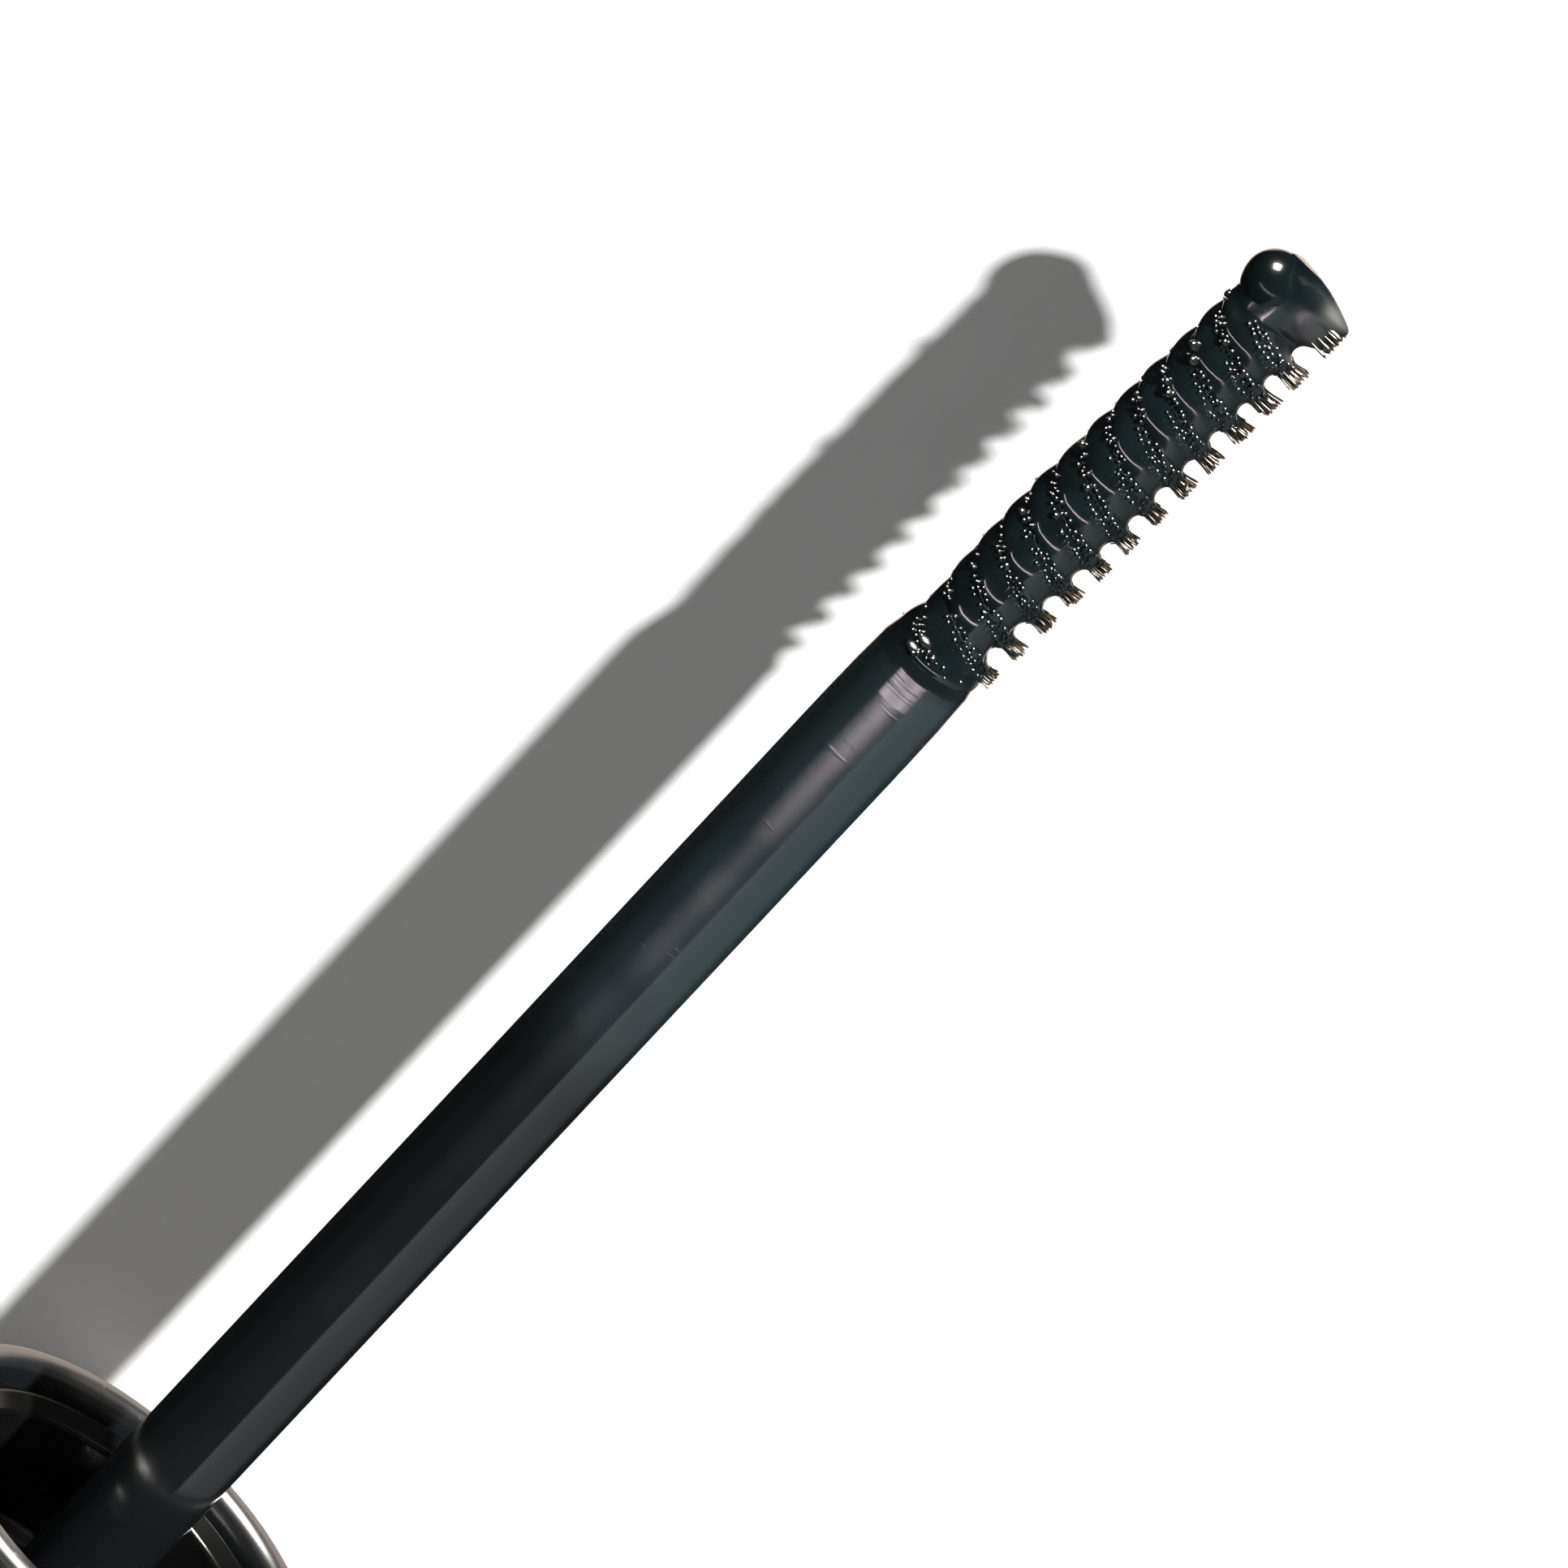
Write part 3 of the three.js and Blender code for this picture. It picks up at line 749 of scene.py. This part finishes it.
bead_x, bead_turn = row_places()
bead_size = rng.uniform(0.055, 0.095, bead_x.size) * (1 + 0.2 * (bead_x - FIRST) / 18)
big = (rng.random(bead_x.size) < 0.07) & (bead_turn > 0.2)
bead_size *= np.where(big, rng.uniform(1.6, 2.6, bead_x.size), 1)
hidden = np.clip((np.abs(bead_turn) - 0.385) / 0.05, 0, 1)
tine_beads = beads("tine_beads", bead_x, bead_turn, bead_size, bead_size * (0.45 - 1.3 * hidden))
dress(tine_beads, "bead", "wand")

# %% [markdown]
# ## Teeth
#
# On the combing side each row ends in a tuft of stiff filaments, wet and clumped where it
# leaves the coat and bare at its splayed ends. A filament is a tapered tube along a curve
# between three points, closed by a round end.


# %% Filaments
def filaments(name, root, bend, tip, width, columns=8, rows=12):
    """Tubes along quadratic curves root-bend-tip [n, xyz], in millimetres from the mouth on
    the axis. The radius swells a little before the tip and closes in a quarter circle."""
    t = np.linspace(0, 1, rows)[None, :, None]
    path = (1 - t) ** 2 * root[:, None] + 2 * t * (1 - t) * bend[:, None] + t ** 2 * tip[:, None]
    ahead = 2 * (1 - t) * (bend - root)[:, None] + 2 * t * (tip - bend)[:, None]
    ahead /= np.linalg.norm(ahead, axis=2, keepdims=True)
    side = np.cross(ahead, [1.0, 0.0, 0.0])
    side /= np.linalg.norm(side, axis=2, keepdims=True)
    other = np.cross(ahead, side)
    close = np.sqrt(np.clip(1 - ((t - 0.86) / 0.14) ** 2, 0, 1)) * (t > 0.86) + (t <= 0.86)
    radius = width[:, None, None] * (1 - 0.35 * t + 0.12 * np.sin(9 * t)) * close
    radius[:, 0] = 0
    angle = full_turn(columns)[None, None, :, None]
    ring = side[:, :, None] * np.cos(angle) + other[:, :, None] * np.sin(angle)
    grid = path[:, :, None] + ring * radius[:, :, None]
    return skin(name, grid * MM + np.array([MOUTH_X, 0, AXIS_Z]))


def tufts(centres, reaches, root_half, tip_half, count, depth_half, short):
    """Roots, bends and tips of the filaments of every tooth, splayed along and across."""
    root, bend, tip = [], [], []
    for centre, reach, narrow, wide in zip(centres, reaches, root_half, tip_half):
        share = np.linspace(-1, 1, count) + rng.normal(0, 0.10, count)
        depth = rng.uniform(-depth_half, depth_half, count)
        foot = along(COMB, centre) - 0.1
        end = reach - rng.uniform(0, short, count)
        root.append(np.stack([centre + narrow * share, -foot + 0 * share, 0.8 * depth], -1))
        bend.append(np.stack([centre + narrow * share, -(foot + end) / 2, depth], -1))
        tip.append(np.stack([centre + wide * share + 0.03, -end, 1.2 * depth], -1))
    return (np.concatenate(p) for p in (root, bend, tip))


tooth_x = FIRST + PITCH * np.arange(STATIONS)
root_half, tip_half = np.linspace(0.20, 0.27, STATIONS), np.linspace(0.27, 0.37, STATIONS)
reaches = tooth_reach(tooth_x)
root, bend, tip = tufts(tooth_x, reaches * 0.90, root_half, tip_half * 0.78, 18, 0.36, 0.5)
clumps = filaments("tooth_clumps", root, bend, tip, rng.uniform(0.08, 0.12, len(root)))
dress(clumps, "bead", "wand")
root, bend, tip = tufts(tooth_x, reaches, root_half, tip_half, 30, 0.40, 0.22)
tooth_tufts = filaments("tooth_tufts", root, bend, tip, rng.uniform(0.045, 0.07, len(root)))
dress(tooth_tufts, "bristle", "wand")

# %% [markdown]
# A few threads of product still span from the arches to the tufts, as wet paint does
# between the hairs of a brush.


# %% Threads of product
def threads():
    """Three to a tooth, from the coat beside it to a place part way down the tuft."""
    centre = np.repeat(tooth_x, 3)
    side = np.tile([1, 1, -1], STATIONS)
    foot = along(COMB, centre)
    reach = tooth_reach(centre)
    start = np.stack([centre + side * rng.uniform(0.36, 0.5, centre.size), -foot - 0.06,
                      rng.uniform(-0.3, 0.3, centre.size)], -1)
    end = np.stack([centre + side * 0.24, -(foot + (reach - foot) * rng.uniform(0.5, 0.85,
                    centre.size)), rng.uniform(-0.25, 0.25, centre.size)], -1)
    middle = (start + end) / 2 + np.stack([-side * 0.09, 0.08 + 0 * side, 0 * side], -1)
    return filaments("product_threads", start, middle, end, np.full(centre.size, 0.028), 6, 9)


dress(threads(), "bristle", "wand")

# %% [markdown]
# Where the film climbs a row it is pulled into short ribs, like skin over knuckles. Each rib
# is a thin tube that lies on the coat and runs out into the bay.


# %% Ribs of film beside the rows
def ribs():
    """Eight on each row, where it climbs from the teeth towards the top."""
    row, step = np.meshgrid(np.arange(-1, STATIONS), np.linspace(0.06, 0.215, 8), indexing="ij")
    turn = (step + rng.normal(0, 0.004, step.shape)).ravel()
    x = FIRST + (row.ravel() + ROWS * turn) * PITCH
    keep = (x > FIRST + 0.4) & (x < LAST + 1)
    x, turn = x[keep], turn[keep]

    def place(phase, dip):
        at = x - phase * PITCH
        return (on_brush(at, turn, coat_radius(at, turn) + dip)
                - np.array([MOUTH_X, 0, AXIS_Z])) / MM

    reach = rng.uniform(0.34, 0.44, x.size)
    return filaments("film_ribs", place(0.16, 0.02), place(0.25, 0.015), place(reach, -0.02),
                     rng.uniform(0.022, 0.034, x.size), 6, 8)


dress(ribs(), "bead", "wand")

# %% [markdown]
# ## The tip
#
# The core ends in a ball that looks out of the lobe. It is a drop that narrows towards the
# rows. Under it a broad tuft ends the comb.


# %% Ball
def tip_ball():
    """A sphere in front of its middle, a softly narrowing neck behind it."""
    radius, rise, front = 1.25, 0.26, 0.14
    t = np.linspace(0, math.pi, 72)
    x = -np.cos(t)
    swell = np.sin(t)
    behind = x < 0
    x_mm = np.where(behind, x * radius * 1.12, x * radius)
    r_mm = radius * np.where(behind, swell ** 0.92, swell)
    angle = full_turn(96)
    r, a = np.meshgrid(r_mm, angle, indexing="ij")
    xs = np.repeat(x_mm[:, None], angle.size, 1) + FIN_X
    grid = np.stack([xs * MM + MOUTH_X, (r * np.cos(a) + rise) * MM,
                     AXIS_Z + (r * np.sin(a) + front) * MM], -1)
    return skin("tip_ball", grid)


dress(tip_ball(), "ball", "wand")
root, bend, tip = tufts([FIN_X - 0.28], [3.2], [0.48], [0.52], 34, 0.42, 0.16)
root[:, 1] = -2.0
bend[:, 1] = -2.6
fin_tuft = filaments("fin_tuft", root, bend, tip, rng.uniform(0.05, 0.08, len(root)))
dress(fin_tuft, "bristle", "wand")

# %% [markdown]
# ## Drops at the joint
#
# Where the brush is pressed into the stem, the wiper has pushed product into a few fat
# drops.

# %% Drops
drop_x = STEM_END + np.array([-0.12, 0.02, 0.28, 0.46, -0.05, 0.10, 0.25])
drop_turn = np.array([0.30, 0.29, 0.27, 0.33, -0.20, 0.12, 0.20])
drop_size = np.array([0.12, 0.11, 0.10, 0.12, 0.12, 0.10, 0.11])
dress(beads("joint_drops", drop_x, drop_turn, drop_size, drop_size * 0.3, 1.0), "wet",
      "wand")

# %% [markdown]
# Two drops are larger and have run together into flat blisters that lean towards the
# brush's end. A blister is a sphere squeezed along the way it leans.


# %% Blisters
def blisters():
    """Ellipsoids: unit sphere, squeezed along the lean and drawn out across the stem."""
    polar = np.linspace(0, math.pi, 25)[:, None]
    round_ = full_turn(40)[None, :]
    unit = (np.cos(polar) + 0 * round_, np.sin(polar) * np.cos(round_),
            np.sin(polar) * np.sin(round_))
    lean = Vector((0.685, 0.233, 0.69)).normalized()
    wide = lean.cross(Vector((1, 0, 0))).normalized()
    tall = lean.cross(wide)
    frames = [np.array(way) * half * MM for way, half in ((lean, 0.13), (wide, 0.36), (tall, 0.22))]
    grid = sum(u[..., None] * frame for u, frame in zip(unit, frames))
    x, turn = STEM_END + np.array([0.0, 0.48]), np.array([0.318, 0.305])
    middle = on_brush(x, turn, coat_radius(x, turn) - 0.02)
    return skin("joint_blisters", middle[:, None, None, :] + grid[None])


dress(blisters(), "bead", "wand")

# %% [markdown]
# ## The tube
#
# The tube is a gloss sleeve over a plain bottle. A collar closes the gap between them and
# is what the cap stops against. The neck carries the thread, and the wiper's rim lies on it.

# %% Sleeve, collar and base
SLEEVE_WALL = 0.9
SKIRT_OUT, SKIRT_IN = 8.3, 7.9
turned("outer_tube", [
    (1.5, OUTER_R - SLEEVE_WALL, 0.1), (1.5, OUTER_R, 0.12), (TUBE_LENGTH, OUTER_R, 0.7),
    (TUBE_LENGTH, OUTER_R - SLEEVE_WALL, 0.1),
], COLLAR_X, True, "tube", "bottle", columns=256)
turned("shoulder_collar", [
    (0, NECK_R + FIT, 0.1), (0, OUTER_R, 0.5), (1.2, OUTER_R, 0.1), (1.2, SKIRT_OUT, 0.05),
    (5.2, SKIRT_OUT, 0.1), (5.2, SKIRT_IN, 0.1), (1.2, SKIRT_IN, 0.05), (1.2, NECK_R + FIT, 0.05),
], COLLAR_X, True, "tube", "bottle", columns=256)
plug_low = (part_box("base_plug")[0].x - COLLAR_X) / MM
label_r = (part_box("base_label")[1].z - AXIS_Z) / MM
turned("base_plug", [
    (plug_low + 4, 0, 0), (plug_low + 4, SKIRT_IN, 0.1), (plug_low, SKIRT_IN, 0.1),
    (plug_low, SKIRT_OUT, 0.1), (TUBE_LENGTH, SKIRT_OUT, 0.15), (TUBE_LENGTH, label_r + FIT, 0.1),
    (TUBE_LENGTH - 0.5, label_r + FIT, 0.05), (TUBE_LENGTH - 0.5, 0, 0),
], COLLAR_X, False, "plug", "bottle", columns=192)
turned("base_label", [
    (TUBE_LENGTH - 0.2, 0, 0), (TUBE_LENGTH - 0.2, label_r, 0.05), (TUBE_LENGTH, label_r, 0.05),
    (TUBE_LENGTH, 0, 0),
], COLLAR_X, False, "label", "bottle", columns=192)


# %% Bottle with its threaded neck, and the wiper
def inner_bottle():
    end = (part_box("inner_bottle")[1].x - COLLAR_X) / MM
    top = -NECK_HEIGHT
    inside = rounded([
        (end - 1, 0, 0), (end - 1, 6.8, 0.6), (2.3, 6.8, 0.4), (2.3, NECK_BORE, 0.3),
        (top, NECK_BORE, 0.15), (top, NECK_R, 0.25), (top + 1, NECK_R, 0.0),
    ], False)
    outside = rounded([
        (1.4, NECK_R, 0.0), (1.5, NECK_R, 0.0), (1.5, 7.6, 0.3), (end, 7.6, 0.8), (end, 0, 0),
    ], False)
    run = np.array(wall_run(top + 1, 1.4, NECK_R))[1:-1, :2]
    profile = np.concatenate([inside, run, outside])
    rise = thread_rise(NECK_R, THREAD_DEPTH, THREAD_START)
    piece = skin("inner_bottle_fine", spin(profile, COLLAR_X, 192, rise))
    return dress(piece, "bottle", "bottle", "inner_bottle")


inner_bottle()
wiper_r = NECK_BORE - FIT
rim = -NECK_HEIGHT - FIT
turned("wiper", [
    (rim - 0.6, wiper_r - 0.5, 0.2), (rim - 0.6, NECK_R, 0.2), (rim, NECK_R, 0.1),
    (rim, wiper_r, 0.05), (rim + 8, wiper_r, 0.4), (rim + 12, 2.705, 0.1),
    (rim + 12, 2.205, 0.1), (rim + 8, wiper_r - 0.5, 0.5),
], COLLAR_X, True, "wiper", "bottle", columns=128)
paint_plain("mascara_fill", "wet")

# %% [markdown]
# ## The set
#
# The floor is white and a small hard sun draws the shadow. Black gloss shows nothing but
# what it reflects, so the reflections are built separately from cards that only glossy rays
# can see: two tall cards on the combing side, a warm one below the cap's mouth, a narrow
# strip overhead, and a small hot one beyond the brush that makes the glints. The floor is
# hidden from glossy rays for the same reason.


# %% Floor
def floor():
    mesh = bpy.data.meshes.new("floor")
    half = 4.0
    mesh.from_pydata([(-half, -half, 0), (half, -half, 0), (half, half, 0), (-half, half, 0)],
                     [], [(0, 1, 2, 3)])
    thing = into_scene("floor", mesh)
    f = Finish("floor_white", Specular_IOR_Level=0.0, Roughness=1.0)
    f.feed("Base Color", f.blend(f.noise(30), (0.80, 0.80, 0.80), (0.82, 0.82, 0.82)))
    mesh.materials.append(f.material)
    thing.visible_glossy = thing.visible_shadow = False


floor()


# %% Cards
def card(name, corners, colour, strength, fade=None, edge=None):
    """A glowing sheet that only reflections see. fade is (height, strength) pairs, lowest
    first, for a card that darkens downwards. edge is where along X it starts to glow, and
    where it glows in full; a card with an edge also has a fade."""
    mesh = bpy.data.meshes.new(name)
    mesh.from_pydata(corners, [], [(0, 1, 2, 3)])
    thing = into_scene(name, mesh)
    material = bpy.data.materials.new(name)
    material.use_nodes = True
    nodes, links = material.node_tree.nodes, material.node_tree.links
    nodes.clear()
    glow = nodes.new("ShaderNodeEmission")
    glow.inputs["Color"].default_value = (*colour, 1)
    glow.inputs["Strength"].default_value = strength
    output = nodes.new("ShaderNodeOutputMaterial")
    links.new(glow.outputs[0], output.inputs["Surface"])
    if fade:
        place = nodes.new("ShaderNodeNewGeometry")
        split = nodes.new("ShaderNodeSeparateXYZ")
        span = nodes.new("ShaderNodeMapRange")
        (low, weak), (high, strong) = fade
        for key, value in (("From Min", low), ("From Max", high), ("To Min", weak * strength),
                           ("To Max", strong * strength)):
            span.inputs[key].default_value = value
        links.new(place.outputs["Position"], split.inputs[0])
        links.new(split.outputs["Z"], span.inputs["Value"])
        links.new(span.outputs[0], glow.inputs["Strength"])
    if edge:
        soft, product = nodes.new("ShaderNodeMapRange"), nodes.new("ShaderNodeMath")
        soft.interpolation_type, product.operation = "SMOOTHSTEP", "MULTIPLY"
        soft.inputs["From Min"].default_value, soft.inputs["From Max"].default_value = edge
        links.new(split.outputs["X"], soft.inputs["Value"])
        links.new(span.outputs[0], product.inputs[0])
        links.new(soft.outputs[0], product.inputs[1])
        links.new(product.outputs[0], glow.inputs["Strength"])
    mesh.materials.append(material)
    thing.visible_camera = thing.visible_diffuse = thing.visible_shadow = False
    thing.visible_transmission = False


def upright(y, x_span, z_span):
    (x0, x1), (z0, z1) = x_span, z_span
    return [(x0, y, z0), (x1, y, z0), (x1, y, z1), (x0, y, z1)]


def level(z, x_span, y_span):
    (x0, x1), (y0, y1) = x_span, y_span
    return [(x0, y0, z), (x1, y0, z), (x1, y1, z), (x0, y1, z)]


def facing(centre, target, width, height):
    """Corners of a card at centre that looks at target."""
    centre, target = Vector(centre), Vector(target)
    towards = (target - centre).normalized()
    across = towards.cross(Vector((0, 0, 1))).normalized()
    up = across.cross(towards)
    half_w, half_h = across * width / 2, up * height / 2
    return [tuple(centre + a * half_w + b * half_h) for a, b in ((-1, -1), (1, -1), (1, 1), (-1, 1))]


SIDE_Y = -0.150
SIDE_FOOT = AXIS_Z - 0.135
for side_name, x_span, side_top, glow_level, side_edge in (
        ("card_combing_side", (-0.60, -0.020), AXIS_Z + 0.188, 1.25, (-0.020, -0.080)),
        ("card_tip_side", (0.02, 0.45), AXIS_Z + 0.10, 1.0, (0.02, 0.12))):
    card(side_name, upright(SIDE_Y, x_span, (SIDE_FOOT, side_top)), (0.96, 1.0, 1.0), glow_level,
         fade=((SIDE_FOOT, 0.0), (side_top, 1.0)), edge=side_edge)
card("card_below_mouth", level(-0.090, (MOUTH_X + 0.005, MOUTH_X + 0.10), (-0.06, 0.06)),
     (1.0, 0.86, 0.74), 2.4)
card("card_overhead", level(AXIS_Z + 0.300, (MOUTH_X - 0.069, MOUTH_X - 0.059), (-0.235, 0.190)),
     (1.0, 0.84, 0.90), 36)
brush_middle = Vector((MOUTH_X + 0.060, 0, AXIS_Z))
key_way = Vector((0.85, 0.42, 0.32)).normalized()
card("card_key", facing(brush_middle + key_way * 0.36, brush_middle, 0.105, 0.105),
     (1.0, 0.96, 0.89), 1300)


# %% Sun and room
def sun():
    light = bpy.data.lights.new("sun", "SUN")
    light.energy = 6.3
    light.angle = math.radians(2.2)
    thing = into_scene("sun", light)
    way = Vector((10.3, -6.65, 9.5)).normalized()
    thing.rotation_mode = "QUATERNION"
    thing.rotation_quaternion = way.to_track_quat("Z", "Y")
    thing.visible_glossy = False


def room():
    """White behind the object, a dim dome on the floor, and nearly dark in reflections,
    only a little paler towards the top."""
    world = bpy.data.worlds.new("room")
    bpy.context.scene.world = world
    world.use_nodes = True
    nodes, links = world.node_tree.nodes, world.node_tree.links
    nodes.clear()
    path = nodes.new("ShaderNodeLightPath")
    way = nodes.new("ShaderNodeTexCoord")
    split = nodes.new("ShaderNodeSeparateXYZ")
    links.new(way.outputs["Generated"], split.inputs[0])
    ramp = nodes.new("ShaderNodeValToRGB")
    shift = nodes.new("ShaderNodeMapRange")
    shift.inputs["From Min"].default_value = -1
    links.new(split.outputs["Z"], shift.inputs["Value"])
    links.new(shift.outputs[0], ramp.inputs[0])
    stops = [(0.0, 0.01), (0.4, 0.02), (0.55, 0.035), (1.0, 0.05)]
    while len(ramp.color_ramp.elements) < len(stops):
        ramp.color_ramp.elements.new(0.5)
    for element, (place, grey) in zip(ramp.color_ramp.elements, stops):
        element.position = place
        element.color = (grey, grey, grey, 1)
    mirror, dome, behind = (nodes.new("ShaderNodeBackground") for _ in range(3))
    links.new(ramp.outputs[0], mirror.inputs["Color"])
    dome.inputs["Strength"].default_value = 0.19
    dome.inputs["Color"].default_value = (1, 1, 1, 1)
    behind.inputs["Color"].default_value = (1, 1, 1, 1)
    behind.inputs["Strength"].default_value = 1.0
    glossy, camera = (nodes.new("ShaderNodeMixShader") for _ in range(2))
    links.new(path.outputs["Is Glossy Ray"], glossy.inputs[0])
    links.new(dome.outputs[0], glossy.inputs[1])
    links.new(mirror.outputs[0], glossy.inputs[2])
    links.new(path.outputs["Is Camera Ray"], camera.inputs[0])
    links.new(glossy.outputs[0], camera.inputs[1])
    links.new(behind.outputs[0], camera.inputs[2])
    output = nodes.new("ShaderNodeOutputWorld")
    links.new(camera.outputs[0], output.inputs["Surface"])


sun()
room()
bpy.context.scene.view_settings.view_transform = "Standard"

# %% [markdown]
# ## The camera
#
# A long lens looks down on the wand from the brush's end and is rolled until the wand climbs
# to the upper right. Only the cap's mouth, the stem and the brush are in view.

# %% Camera
TILT = math.radians(22.65)
ROLL = math.radians(46.92)
DISTANCE = 0.800
FRAME_AT_MOUTH = 61.1392 * MM
SENSOR = 36
back = Vector((math.sin(TILT), 0, math.cos(TILT)))
along_wand = Vector((math.cos(TILT), 0, -math.sin(TILT)))
across = Vector((0, 1, 0))
right = math.cos(ROLL) * along_wand - math.sin(ROLL) * across
up = math.sin(ROLL) * along_wand + math.cos(ROLL) * across
mouth = Vector((MOUTH_X, 0, AXIS_Z))
looked_at = mouth + along_wand * 0.0385 + across * 0.00082
camera_data = bpy.data.cameras.new("camera")
camera_data.sensor_width = SENSOR
camera_data.lens = SENSOR * DISTANCE / FRAME_AT_MOUTH
camera_data.clip_start, camera_data.clip_end = 0.05, 20
camera = into_scene("camera", camera_data)
turned_to = Matrix((right, up, back)).transposed()
camera.matrix_world = Matrix.Translation(looked_at + back * DISTANCE) @ turned_to.to_4x4()
bpy.context.scene.camera = camera
print(f"lens {camera_data.lens:.0f} mm")
